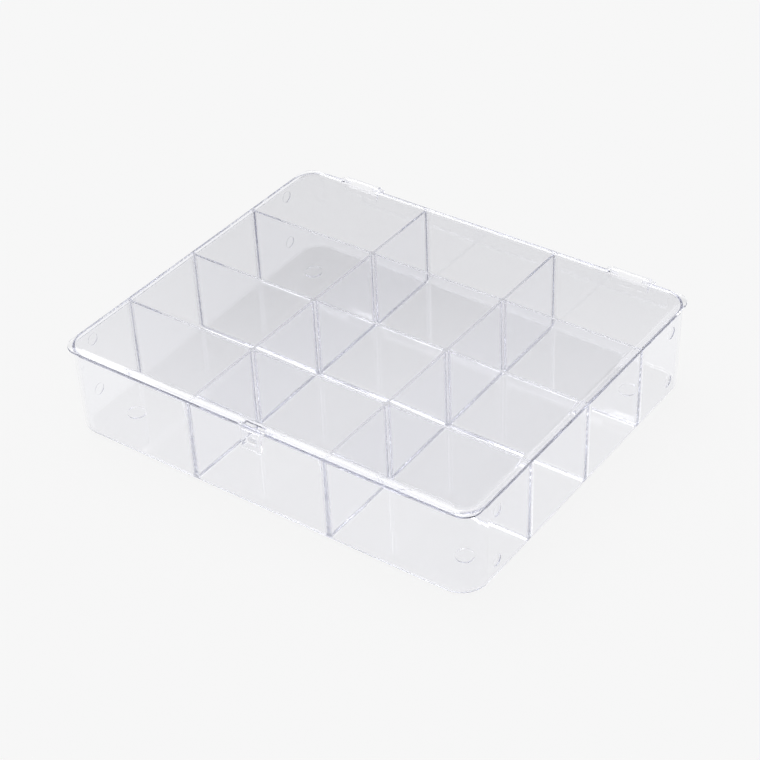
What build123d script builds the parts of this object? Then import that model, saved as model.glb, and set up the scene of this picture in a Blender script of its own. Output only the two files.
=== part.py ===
from build123d import *
from math import atan2, degrees, radians, tan
import os

# Clear compartment case for photo cards: a drafted tray with fixed dividers, a thin
# hinged lid with a raised panel, and a small swing latch on the lid's front edge.
# Millimetres. Origin under the middle of the tray, on the surface it stands on.
# +X is the case's long side to the right, +Y its back, +Z up.

# Outline at the rim, divided evenly into cells that each take a card lying flat
case_length = 278.0
case_width = 234.0
columns = 3
rows = 4
cell_depth = 53.0         # floor to the top of the dividers
divider = 1.5             # divider thickness at the top
cell_corner = 2.0         # upright corners of a cell
floor_bevel = 0.8         # where a cell's sides meet the floor

# Tray shell
wall = 1.5                # wall thickness at the rim
floor = 2.0
draft = 0.5               # degrees, on every upright face
corner_radius = 17.0      # outer corner of the tray at the rim
base_radius = 4.0         # outer edge round the underside
headroom = 0.5            # rim above the dividers
edge_break = 0.3          # bevel on the edges along the seam

# Feet and the round marks on the two side walls
foot_radius = 5.5
foot_height = 0.8
foot_end_inset = 24.0     # middle of a foot in from the rim's ends
foot_side_inset = 30.5    # and in from its front or back
mark_radius = 3.8
mark_depth = 0.5
mark_inset = 25.0         # middle of a mark in from the rim's front or back
mark_low = 10.5           # above the cell floor
mark_high = 45.0

# Lid
seam = 0.2                # between rim and lid
lid_corner = 10.0         # tighter than the tray's, so the lid's corners stand out over them
lid_edge = 1.3            # upright edge of the lid
lid_edge_radius = 0.6
band_width = 3.7          # sloping band round the raised panel
band_rise = 0.6
panel_slope = 1.7         # width of the steeper slope from the band up to the panel
panel_rise = 0.5          # and its height
panel_corner = 10.0
panel_recess = 0.9        # hollow under the panel

# Hinges, alike left and right
hinge_inset = 42.0        # middle of each knuckle in from the rim's ends
hinge_offset = 2.1        # axis behind the back wall
hinge_drop = 0.3          # axis below the rim
knuckle_length = 25.0
knuckle_radius = 2.6
knuckle_root = 7.0        # height of its foot on the back wall
hinge_pin_radius = 1.1
hinge_pin_length = 4.0
hinge_lug = 2.7           # lug width
hinge_lug_radius = 1.8

# Latch
latch_width = 13.4
latch_drop = 13.0         # axis to the flap's lower edge
latch_offset = 0.6        # axis in front of the front wall
latch_rise = 1.4          # axis above the lid's underside
latch_radius = 1.35       # barrel and lugs
latch_pin_radius = 0.7
latch_lug = 1.6           # lug width
flap = 1.0                # flap thickness
lip_height = 2.6          # finger lip at the lower edge
lip_flare = 0.9
window_width = 6.6
window_height = 4.8
window_sill = 1.2         # bar between the lip and the window
catch_width = 6.0
catch_height = 2.6
catch_depth = 0.7

# Fits
pin_clearance = 0.05      # round each pin, in radius
side_gap = 0.3            # at each end of a knuckle or barrel, and round the catch

# Sizes that follow
half_length = case_length / 2
half_width = case_width / 2
column_pitch = case_length / columns
row_pitch = case_width / rows
inner_length = case_length - 2 * wall
inner_width = case_width - 2 * wall
panel_length = case_length - 2 * band_width
panel_width = case_width - 2 * band_width
foot_x = half_length - foot_end_inset
foot_y = half_width - foot_side_inset
mark_y = half_width - mark_inset

base_z = foot_height
floor_z = base_z + floor
divider_z = floor_z + cell_depth
rim_z = divider_z + headroom
bevel_z = rim_z - edge_break
lid_z = rim_z + seam
band_z = lid_z + lid_edge
panel_z = band_z + band_rise
top_z = panel_z + panel_rise

hinge_x = half_length - hinge_inset
hinge_y = half_width + hinge_offset
hinge_z = rim_z - hinge_drop
latch_y = -half_width - latch_offset
latch_z = lid_z + latch_rise


def wall_face(half, height):
    """Distance from the middle to a drafted outer wall at a height."""
    return half - (bevel_z - height) * tan(radians(draft))


def is_upright(edge):
    """True for a cell's upright edges."""
    return edge.bounding_box().size.Z > cell_depth / 2


def from_middle(item):
    """How far an edge or vertex lies from the middle of the case, added up along both sides."""
    return abs(item.center().X) + abs(item.center().Y)


def cell_form(column, row):
    """The hollow of one cell: drafted, with round upright corners and a bevel round its floor."""
    left = -half_length + column * column_pitch + (wall if column == 0 else divider / 2)
    right = -half_length + (column + 1) * column_pitch - (wall if column == columns - 1 else divider / 2)
    front = -half_width + row * row_pitch + (wall if row == 0 else divider / 2)
    back = -half_width + (row + 1) * row_pitch - (wall if row == rows - 1 else divider / 2)
    at_corner = column in (0, columns - 1) and row in (0, rows - 1)
    with BuildPart(mode=Mode.PRIVATE) as cell:
        with BuildSketch(Plane.XY.offset(divider_z)) as opening:
            with Locations(((left + right) / 2, (front + back) / 2)):
                Rectangle(right - left, back - front)
            if at_corner:
                fillet(opening.vertices().sort_by(from_middle)[-1], corner_radius - wall)
        extrude(amount=-cell_depth, taper=draft)
        # The case's own round corner is the outermost, and already round
        sharp = cell.edges().filter_by(is_upright).sort_by(from_middle)[: 3 if at_corner else 4]
        fillet(sharp, cell_corner)
        chamfer(cell.edges().group_by(Axis.Z)[0], floor_bevel)
    return cell.part


# Tray
with BuildPart() as tray:
    # Outer form, widest just below the bevelled rim
    with BuildSketch(Plane.XY.offset(bevel_z)) as widest:
        RectangleRounded(case_length, case_width, corner_radius)
    extrude(amount=base_z - bevel_z, taper=draft)
    fillet(tray.edges().group_by(Axis.Z)[0], base_radius)
    extrude(widest.sketch, amount=edge_break, taper=45)

    # Headroom over the dividers
    with BuildSketch(Plane.XY.offset(divider_z)):
        RectangleRounded(inner_length, inner_width, corner_radius - wall)
    extrude(amount=headroom, mode=Mode.SUBTRACT)

    # Cells, which leave the dividers standing
    for column in range(columns):
        for row in range(rows):
            add(cell_form(column, row), mode=Mode.SUBTRACT)

    # Round marks, shallow in the side walls
    for side in (-1, 1):
        for height in (floor_z + mark_low, floor_z + mark_high):
            mark_x = wall_face(half_length, height) - mark_depth
            with BuildSketch(Plane.YZ.offset(side * mark_x)):
                with Locations((-mark_y, height), (mark_y, height)):
                    Circle(mark_radius)
            extrude(amount=side * 2 * mark_depth, mode=Mode.SUBTRACT)

    # Catch on the front wall: flat below, ramped above
    catch_z = latch_z - latch_drop + lip_height + window_sill + side_gap
    catch_root = -wall_face(half_width, catch_z) + wall / 2
    catch_tip = -half_width - catch_depth
    with BuildSketch(Plane.YZ):
        Polygon(
            (catch_root, catch_z),
            (catch_tip, catch_z),
            (catch_tip, catch_z + catch_height / 3),
            (catch_root, catch_z + catch_height),
            align=None,
        )
    extrude(amount=catch_width / 2, both=True)

    # Hinge knuckles, each on a foot that runs down the back wall
    for side in (-1, 1):
        with BuildSketch(Plane.YZ.offset(side * hinge_x - knuckle_length / 2)):
            with Locations((hinge_y, hinge_z)):
                Circle(knuckle_radius)
            with Locations((half_width - wall / 2, rim_z)):
                Rectangle(wall / 2, knuckle_root, align=(Align.MIN, Align.MAX))
            make_hull()
        extrude(amount=knuckle_length)
        for end in (-1, 1):
            with BuildSketch(Plane.YZ.offset(side * hinge_x + end * knuckle_length / 2)):
                with Locations((hinge_y, hinge_z)):
                    Circle(hinge_pin_radius + pin_clearance)
            extrude(amount=-end * (hinge_pin_length + side_gap), mode=Mode.SUBTRACT)

# Lid
with BuildPart() as lid:
    # Upright edge, sloping band and raised panel
    with BuildSketch(Plane.XY.offset(lid_z)):
        RectangleRounded(case_length, case_width, lid_corner)
    extrude(amount=lid_edge + band_rise)
    upper = lid.faces().sort_by(Axis.Z)[-1]
    chamfer(upper.edges(), band_width, band_rise, reference=upper)
    with BuildSketch(Plane.XY.offset(panel_z)):
        RectangleRounded(panel_length, panel_width, panel_corner)
    extrude(amount=panel_rise, taper=degrees(atan2(panel_slope, panel_rise)))
    fillet(lid.edges().filter_by_position(Axis.Z, band_z - 0.01, band_z + 0.01), lid_edge_radius)
    chamfer(lid.edges().group_by(Axis.Z)[0], edge_break)

    # Hollow under the panel
    with BuildSketch(Plane.XY.offset(lid_z)):
        RectangleRounded(panel_length, panel_width, panel_corner)
    extrude(amount=panel_recess, mode=Mode.SUBTRACT)

    # Notches through the band, for the knuckles and the latch
    knuckle_space = knuckle_length + 2 * side_gap
    barrel_space = latch_width + 2 * side_gap
    with BuildSketch(Plane.XY.offset(lid_z)):
        with Locations((-hinge_x, half_width), (hinge_x, half_width)):
            Rectangle(knuckle_space, 2 * band_width)
        with Locations((0, -half_width)):
            Rectangle(barrel_space, 2 * band_width)
    extrude(amount=top_z - lid_z, mode=Mode.SUBTRACT)

    # Hinge lugs with their pins, a pair at each knuckle
    for side in (-1, 1):
        for end in (-1, 1):
            lug_plane = Plane.YZ.offset(side * hinge_x + end * knuckle_space / 2)
            with BuildSketch(lug_plane):
                with Locations((hinge_y, hinge_z)):
                    Circle(hinge_lug_radius)
                with Locations((hinge_y, lid_z)):
                    Rectangle(
                        hinge_offset + band_width / 2,
                        hinge_z + hinge_lug_radius - lid_z,
                        align=(Align.MAX, Align.MIN),
                    )
            extrude(amount=end * hinge_lug)
            with BuildSketch(lug_plane):
                with Locations((hinge_y, hinge_z)):
                    Circle(hinge_pin_radius)
            extrude(amount=-end * (hinge_pin_length + side_gap))

    # Latch lugs, bored for the latch's pins
    for end in (-1, 1):
        with BuildSketch(Plane.YZ.offset(end * barrel_space / 2)):
            with Locations((latch_y, latch_z)):
                Circle(latch_radius)
            with Locations((-half_width + band_width / 2, lid_z)):
                Rectangle(band_width / 4, lid_edge, align=(Align.MIN, Align.MIN))
            make_hull()
            with Locations((latch_y, latch_z)):
                Circle(latch_pin_radius + pin_clearance, mode=Mode.SUBTRACT)
        extrude(amount=end * latch_lug)

# Latch
with BuildPart() as latch:
    flap_outer = latch_y - latch_radius
    flap_inner = flap_outer + flap
    flap_bottom = latch_z - latch_drop
    lip_top = flap_bottom + lip_height

    # Barrel and flap in one section, with the finger lip flared outwards
    with BuildSketch(Plane.YZ):
        with Locations((latch_y, latch_z)):
            Circle(latch_radius)
        Polygon(
            (flap_outer, latch_z),
            (flap_outer, lip_top),
            (flap_outer - lip_flare, flap_bottom),
            (flap_inner - lip_flare, flap_bottom),
            (flap_inner, lip_top),
            (flap_inner, latch_z),
            align=None,
        )
    extrude(amount=latch_width / 2, both=True)

    # Pins in the lid's lugs
    with BuildSketch(Plane.YZ):
        with Locations((latch_y, latch_z)):
            Circle(latch_pin_radius)
    extrude(amount=latch_width / 2 + side_gap + latch_lug, both=True)

    # Window that drops over the catch
    with BuildSketch(Plane.XZ.offset(-latch_y)):
        with Locations((0, lip_top + window_sill)):
            Rectangle(window_width, window_height, align=(Align.CENTER, Align.MIN))
    extrude(amount=2 * latch_radius, both=True, mode=Mode.SUBTRACT)

# Feet, solids of their own so that each gets its own collision hull
feet = {}
for name, x, y in (
    ("foot_front_left", -foot_x, -foot_y),
    ("foot_front_right", foot_x, -foot_y),
    ("foot_back_left", -foot_x, foot_y),
    ("foot_back_right", foot_x, foot_y),
):
    with BuildPart() as feet[name]:
        with BuildSketch(Plane.XY):
            with Locations((x, y)):
                Circle(foot_radius)
        extrude(amount=foot_height)

os.makedirs("parts", exist_ok=True)
for name, piece in {"tray": tray, "lid": lid, "latch": latch, **feet}.items():
    piece.part.label = name
    export_step(piece.part, f"parts/{name}.step")
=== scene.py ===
import math

import bmesh
import bpy
from mathutils import Matrix, Vector


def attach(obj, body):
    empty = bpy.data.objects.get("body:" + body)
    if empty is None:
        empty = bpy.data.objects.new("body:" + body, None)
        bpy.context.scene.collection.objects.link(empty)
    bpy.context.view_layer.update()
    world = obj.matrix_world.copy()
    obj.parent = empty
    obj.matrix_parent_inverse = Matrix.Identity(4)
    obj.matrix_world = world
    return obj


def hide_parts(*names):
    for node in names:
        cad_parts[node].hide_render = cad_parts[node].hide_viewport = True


# Clear compartment case for photo cards, on a pale sweep in soft light.
# Metres; the case stands on z = 0 with its hinges at +Y.

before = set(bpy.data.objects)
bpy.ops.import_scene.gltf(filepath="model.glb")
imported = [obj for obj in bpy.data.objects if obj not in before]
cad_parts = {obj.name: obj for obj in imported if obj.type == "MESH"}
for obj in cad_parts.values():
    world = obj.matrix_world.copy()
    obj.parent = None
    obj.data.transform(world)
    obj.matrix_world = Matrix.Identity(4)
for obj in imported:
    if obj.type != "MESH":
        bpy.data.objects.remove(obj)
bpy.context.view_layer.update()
scene = bpy.context.scene
print("frame loaded:", ", ".join(sorted(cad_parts)))


# Camera, at the photograph's viewing angle
view = {
    "target": (-0.0118, 0.0142, 0.0028),
    "turn": 36.873,      # degrees to the right of the front
    "height": 36.766,    # degrees above the floor
    "roll": -2.593,
    "distance": 1.1686,
    "lens": 92.95,
    "sensor": 36,
    "reach": 50,         # nothing farther than this is drawn
}


def placeCamera(view):
    turn, height = math.radians(view["turn"]), math.radians(view["height"])
    back = Vector((math.sin(turn) * math.cos(height), -math.cos(turn) * math.cos(height), math.sin(height)))
    across = Vector((0, 0, 1)).cross(back).normalized()
    upward = back.cross(across)
    axes = Matrix((across, upward, back)).transposed()
    data = bpy.data.cameras.new("camera")
    data.lens = view["lens"]
    data.sensor_width = view["sensor"]
    data.clip_end = view["reach"]
    camera = bpy.data.objects.new("camera", data)
    scene.collection.objects.link(camera)
    place = Matrix.Translation(Vector(view["target"]) + back * view["distance"])
    camera.matrix_world = place @ axes.to_4x4() @ Matrix.Rotation(math.radians(view["roll"]), 4, "Z")
    scene.camera = camera


placeCamera(view)
scene.view_settings.view_transform = "Standard"
print("camera placed")


# Shader tools: a socket that takes Python arithmetic, and one maker for every other node
class Value:
    def __init__(self, shader, socket):
        self.shader = shader
        self.socket = socket

    def combine(self, operation, first, second):
        return self.shader.add("ShaderNodeMath", {"operation": operation}, {0: first, 1: second})

    def __add__(self, other):
        return self.combine("ADD", self, other)

    def __radd__(self, other):
        return self.combine("ADD", other, self)

    def __sub__(self, other):
        return self.combine("SUBTRACT", self, other)

    def __rsub__(self, other):
        return self.combine("SUBTRACT", other, self)

    def __mul__(self, other):
        return self.combine("MULTIPLY", self, other)

    def __rmul__(self, other):
        return self.combine("MULTIPLY", other, self)

    def __truediv__(self, other):
        return self.combine("DIVIDE", self, other)

    def __pow__(self, other):
        return self.combine("POWER", self, other)


class Shader:
    def __init__(self, owner):
        owner.use_nodes = True
        self.owner = owner
        self.nodes = owner.node_tree.nodes
        self.links = owner.node_tree.links

    def feed(self, socket, value):
        if isinstance(value, Value):
            self.links.new(value.socket, socket)
        else:
            socket.default_value = value

    def add(self, kind, settings, values, output=0):
        node = self.nodes.new(kind)
        for name, setting in settings.items():
            if name == "stops":
                ramp = node.color_ramp.elements
                while len(ramp) < len(setting):
                    ramp.new(1.0)
                for stop, (place, shade) in zip(ramp, setting):
                    stop.position, stop.color = place, (shade, shade, shade, 1)
            else:
                setattr(node, name, setting)
        for name, value in values.items():
            self.feed(node.inputs[name], value)
        return Value(self, node.outputs[output])

    def noise(self, scale, detail):
        place = self.add("ShaderNodeTexCoord", {}, {}, "Object")
        return self.add("ShaderNodeTexNoise", {}, {"Vector": place, "Scale": scale, "Detail": detail})

    def bump(self, height, distance):
        return self.add("ShaderNodeBump", {}, {"Strength": 1.0, "Distance": distance, "Height": height})

    def set(self, node, **values):
        for name, value in values.items():
            self.feed(self.nodes[node].inputs[name.replace("_", " ")], value)
        return self.owner


# Clear moulded plastic
clearPlastic = {
    "tint": (0.981, 0.982, 0.995, 1),
    "depth": (0.05, 0.07, 0.28, 1),    # colour that long ways through the plastic take on
    "density": 3.0,                    # per metre
    "ior": 1.57,
    "roughness": 0.012,
    "haze": 0.03,         # added roughness where the polish is worn
    "wearScale": 9.0,     # per metre
    "wearDetail": 4.0,
    "wearPower": 4,       # keeps the wear to few places
    "waveScale": 22.0,    # slow waviness of a moulded sheet, per metre
    "waveDetail": 1.0,
    "waveDepth": 0.00002,
}


def makeClearPlastic(look):
    shader = Shader(bpy.data.materials.new("clear_plastic"))
    worn = shader.noise(look["wearScale"], look["wearDetail"])
    waves = shader.bump(shader.noise(look["waveScale"], look["waveDetail"]), look["waveDepth"])
    depth = {"Color": look["depth"], "Density": look["density"]}
    absorbed = shader.add("ShaderNodeVolumeAbsorption", {}, depth)
    shader.set("Material Output", Volume=absorbed)
    return shader.set(
        "Principled BSDF",
        Base_Color=look["tint"],
        Roughness=look["roughness"] + look["haze"] * worn ** look["wearPower"],
        IOR=look["ior"],
        Transmission_Weight=1.0,
        Normal=waves,
    )


plastic = makeClearPlastic(clearPlastic)
print("clear plastic made")


# Finished mouldings: each starts from its CAD node's mesh
finishing = {
    "join": 0.000002,           # vertices closer than this are one
    "flat": math.radians(1),    # faces that meet flatter than this are one
    "sharp": math.radians(40),  # edges that turn more than this get the mould's radius
    "radius": 0.00015,
    "steps": 3,
    "flatShare": 100,           # how far the large faces alone decide the shading
}


def mergedMesh(nodes):
    mesh = bmesh.new()
    for node in nodes:
        mesh.from_mesh(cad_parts[node].data)
    bmesh.ops.remove_doubles(mesh, verts=mesh.verts, dist=finishing["join"])
    bmesh.ops.dissolve_limit(
        mesh, angle_limit=finishing["flat"], verts=mesh.verts, edges=mesh.edges,
        use_dissolve_boundaries=False, delimit=set(),
    )
    return mesh


def meshObject(name, mesh, smooth=True):
    for face in mesh.faces:
        face.smooth = smooth
    data = bpy.data.meshes.new(name)
    mesh.to_mesh(data)
    mesh.free()
    piece = bpy.data.objects.new(name, data)
    scene.collection.objects.link(piece)
    return piece


def finish(piece, nodes, body):
    piece.data.materials.append(plastic)
    edges = piece.modifiers.new("mould_radius", "BEVEL")
    edges.limit_method = "ANGLE"
    edges.angle_limit = finishing["sharp"]
    edges.width = finishing["radius"]
    edges.segments = finishing["steps"]
    shading = piece.modifiers.new("flat_faces", "WEIGHTED_NORMAL")
    shading.weight = finishing["flatShare"]
    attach(piece, body)
    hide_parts(*nodes)
    print(piece.name, len(piece.data.polygons), "faces before its edges are rounded")


# The feet are moulded with the tray, so they become one surface with it
feet = {
    "nodes": ["foot_front_left", "foot_front_right", "foot_back_left", "foot_back_right"],
    "root": 0.0006,    # how far each reaches into the tray's floor before the two are joined
}

# The cells: their edges at the heights named here are rounder than the mould's other edges
cells = {
    "columns": 3,
    "rows": 4,
    "length": 0.278,          # of the whole case
    "width": 0.234,
    "floor": 0.0028,
    "bevelTop": 0.0036,       # upper edge of the bevel round the floor
    "dividerTop": 0.0558,
    "near": 0.00003,          # a height within this counts as the same
    "cornerReach": 0.0012,    # across a bevel, from a corner's point on one edge to the next on the other
    "footRadius": 0.00035,
    "topRadius": 0.0006,
    "steps": 4,
    "sharp": math.radians(30),
    "spread": 3,              # power of its points' numbers that tells a face from the others
}


def atHeight(vert, height):
    return abs(vert.co.z - height) < cells["near"]


def straightenBevels(mesh):
    # Points between a cell's corners bend its floor bevel; welded to the corners they leave it flat
    upper = [vert.co.xy for vert in mesh.verts if atHeight(vert, cells["bevelTop"])]
    corners, strays = [], []
    for vert in mesh.verts:
        if atHeight(vert, cells["floor"]):
            gap = min((vert.co.xy - place).length for place in upper)
            (corners if gap < cells["cornerReach"] else strays).append(vert)
    nearest = {}
    for stray in strays:
        nearest[stray] = min(corners, key=lambda corner: (corner.co - stray.co).length)
    bmesh.ops.weld_verts(mesh, targetmap=nearest)
    print(len(strays), "stray points taken out of the floor bevels")


def cutTops(mesh):
    # The dividers' tops are one face round twelve openings. Cuts along the dividers and across the middle
    # of each opening leave plain strips
    height = cells["dividerTop"]
    across = (Vector((1, 0, 0)), 2 * cells["columns"], cells["length"])
    deep = (Vector((0, 1, 0)), 2 * cells["rows"], cells["width"])
    for normal, strips, length in (across, deep):
        for cut in range(1, strips):
            tops = [face for face in mesh.faces if all(atHeight(vert, height) for vert in face.verts)]
            parts = {edge for face in tops for edge in face.edges}
            parts |= {vert for face in tops for vert in face.verts}
            middle = normal * (cut / strips - 0.5) * length
            bmesh.ops.bisect_plane(mesh, geom=tops + list(parts), plane_co=middle, plane_no=normal)


def roundEdges(mesh, heights, radius, outward):
    edges = [
        edge for edge in mesh.edges
        if any(all(atHeight(vert, height) for vert in edge.verts) for height in heights)
        and edge.is_convex == outward and edge.calc_face_angle(0) > cells["sharp"]
    ]
    bmesh.ops.bevel(
        mesh, geom=edges, offset=radius, offset_type="OFFSET", affect="EDGES",
        segments=cells["steps"], profile=0.5, material=-1, clamp_overlap=False,
    )
    print(len(edges), "edges rounded by", radius)


def makeTray():
    form = mergedMesh(feet["nodes"])
    top = max(vert.co.z for vert in form.verts)
    upper = [vert for vert in form.verts if vert.co.z > top / 2]
    bmesh.ops.translate(form, verts=upper, vec=(0, 0, feet["root"]))
    legs = meshObject("feet_form", form)
    tray = meshObject("clear_tray", mergedMesh(["tray"]))
    union = tray.modifiers.new("feet", "BOOLEAN")
    union.operation = "UNION"
    union.solver = "EXACT"
    union.object = legs
    whole = bpy.data.meshes.new_from_object(tray.evaluated_get(bpy.context.evaluated_depsgraph_get()))
    tray.modifiers.clear()
    mesh = bmesh.new()
    mesh.from_mesh(whole)
    straightenBevels(mesh)
    roundEdges(mesh, [cells["floor"], cells["bevelTop"]], cells["footRadius"], outward=False)
    cutTops(mesh)
    roundEdges(mesh, [cells["dividerTop"]], cells["topRadius"], outward=True)
    # The cuts leave the faces in an order that changes from run to run
    mesh.verts.index_update()
    mesh.faces.sort(key=lambda face: sum(vert.index ** cells["spread"] for vert in face.verts))
    mesh.to_mesh(whole)
    mesh.free()
    tray.data = whole
    bpy.data.objects.remove(legs)
    return tray


finish(makeTray(), ["tray"] + feet["nodes"], "tray")
finish(meshObject("clear_lid", mergedMesh(["lid"])), ["lid"], "lid")
finish(meshObject("clear_latch", mergedMesh(["latch"])), ["latch"], "latch")


# Pale floor
sweep = {
    "size": 12.0,
    "drop": 0.00005,
    "colour": (0.03, 0.03, 0.03, 1),
    "roughness": 0.9,
    "grain": 0.05,          # added roughness
    "grainScale": 900.0,    # per metre
    "grainDetail": 2.0,
    "glowColour": (1, 1, 1, 1),
    "glow": 0.887,
}


def makeFloor(sweep):
    shader = Shader(bpy.data.materials.new("pale_floor"))
    grain = shader.noise(sweep["grainScale"], sweep["grainDetail"])
    material = shader.set(
        "Principled BSDF",
        Base_Color=sweep["colour"],
        Roughness=sweep["roughness"] + sweep["grain"] * grain,
        Specular_IOR_Level=0.0,
        Emission_Color=sweep["glowColour"],
        Emission_Strength=sweep["glow"],
    )
    mesh = bmesh.new()
    bmesh.ops.create_grid(mesh, x_segments=1, y_segments=1, size=sweep["size"] / 2)
    bmesh.ops.translate(mesh, verts=mesh.verts, vec=(0, 0, -sweep["drop"]))
    floor = meshObject("floor", mesh, smooth=False)
    floor.data.materials.append(material)


makeFloor(sweep)


# Soft studio light: a pale room with a wide bright ceiling, a key light high up on the left,
# and a dim card behind the case that its lid mirrors
studio = {
    "bounces": 160,
    "peak": 1.7,          # brightest light of room and card
    "rampEnd": 90,        # degrees at the far end of each ramp below
    # height above the horizon in degrees, share of the peak
    "room": ((0, 0.5), (42, 0.5), (47, 0.8), (84, 0.6)),
    "cardSide": -28.0,    # degrees from the back, to the right
    # on the card: height above the horizon in degrees, share of the peak
    "card": ((26, 0.5), (30, 0.02), (34, 0.02), (37, 0.25), (42, 0.25), (46, 1.0)),
    # degrees to the sides of the card's middle, share of it that is left
    "cardFade": ((14, 1.0), (26, 0.0)),
    "keySide": -76.0,
    "keyHeight": 60.0,
    "keyPower": 3.2,
    # degrees from the key's middle, share of its power
    "keyFade": ((15, 1.0), (27, 0.0)),
}


def makeLight(studio):
    shader = Shader(bpy.data.worlds.new("studio"))
    direction = shader.add("ShaderNodeTexCoord", {}, {}, "Generated")
    upward = shader.add("ShaderNodeSeparateXYZ", {}, {0: direction}, "Z")
    height = shader.add("ShaderNodeMath", {"operation": "ARCSINE"}, {0: upward})
    level = shader.add("ShaderNodeVectorMath", {"operation": "MULTIPLY"}, {0: direction, 1: (1, 1, 0)})
    ahead = shader.add("ShaderNodeVectorMath", {"operation": "NORMALIZE"}, {0: level})

    def angleTo(vector, side, height):
        side, height = math.radians(side), math.radians(height)
        towards = (math.sin(side) * math.cos(height), math.cos(side) * math.cos(height), math.sin(height))
        both = {0: vector, 1: towards}
        aligned = shader.add("ShaderNodeVectorMath", {"operation": "DOT_PRODUCT"}, both, "Value")
        return shader.add("ShaderNodeMath", {"operation": "ARCCOSINE"}, {0: aligned})

    def along(name, angle):
        stops = [(degrees / studio["rampEnd"], share) for degrees, share in studio[name]]
        position = angle / math.radians(studio["rampEnd"])
        return shader.add("ShaderNodeValToRGB", {"stops": stops}, {0: position})

    room = along("room", height)
    onCard = along("cardFade", angleTo(ahead, studio["cardSide"], 0))
    key = along("keyFade", angleTo(direction, studio["keySide"], studio["keyHeight"]))
    light = (room + onCard * (along("card", height) - room)) * studio["peak"] + key * studio["keyPower"]
    scene.world = shader.set("Background", Color=light)


makeLight(studio)
# Light runs far inside the thin plates before it leaves them
for kind in ("max_bounces", "transmission_bounces", "glossy_bounces"):
    setattr(scene.cycles, kind, studio["bounces"])
print("floor and light made")
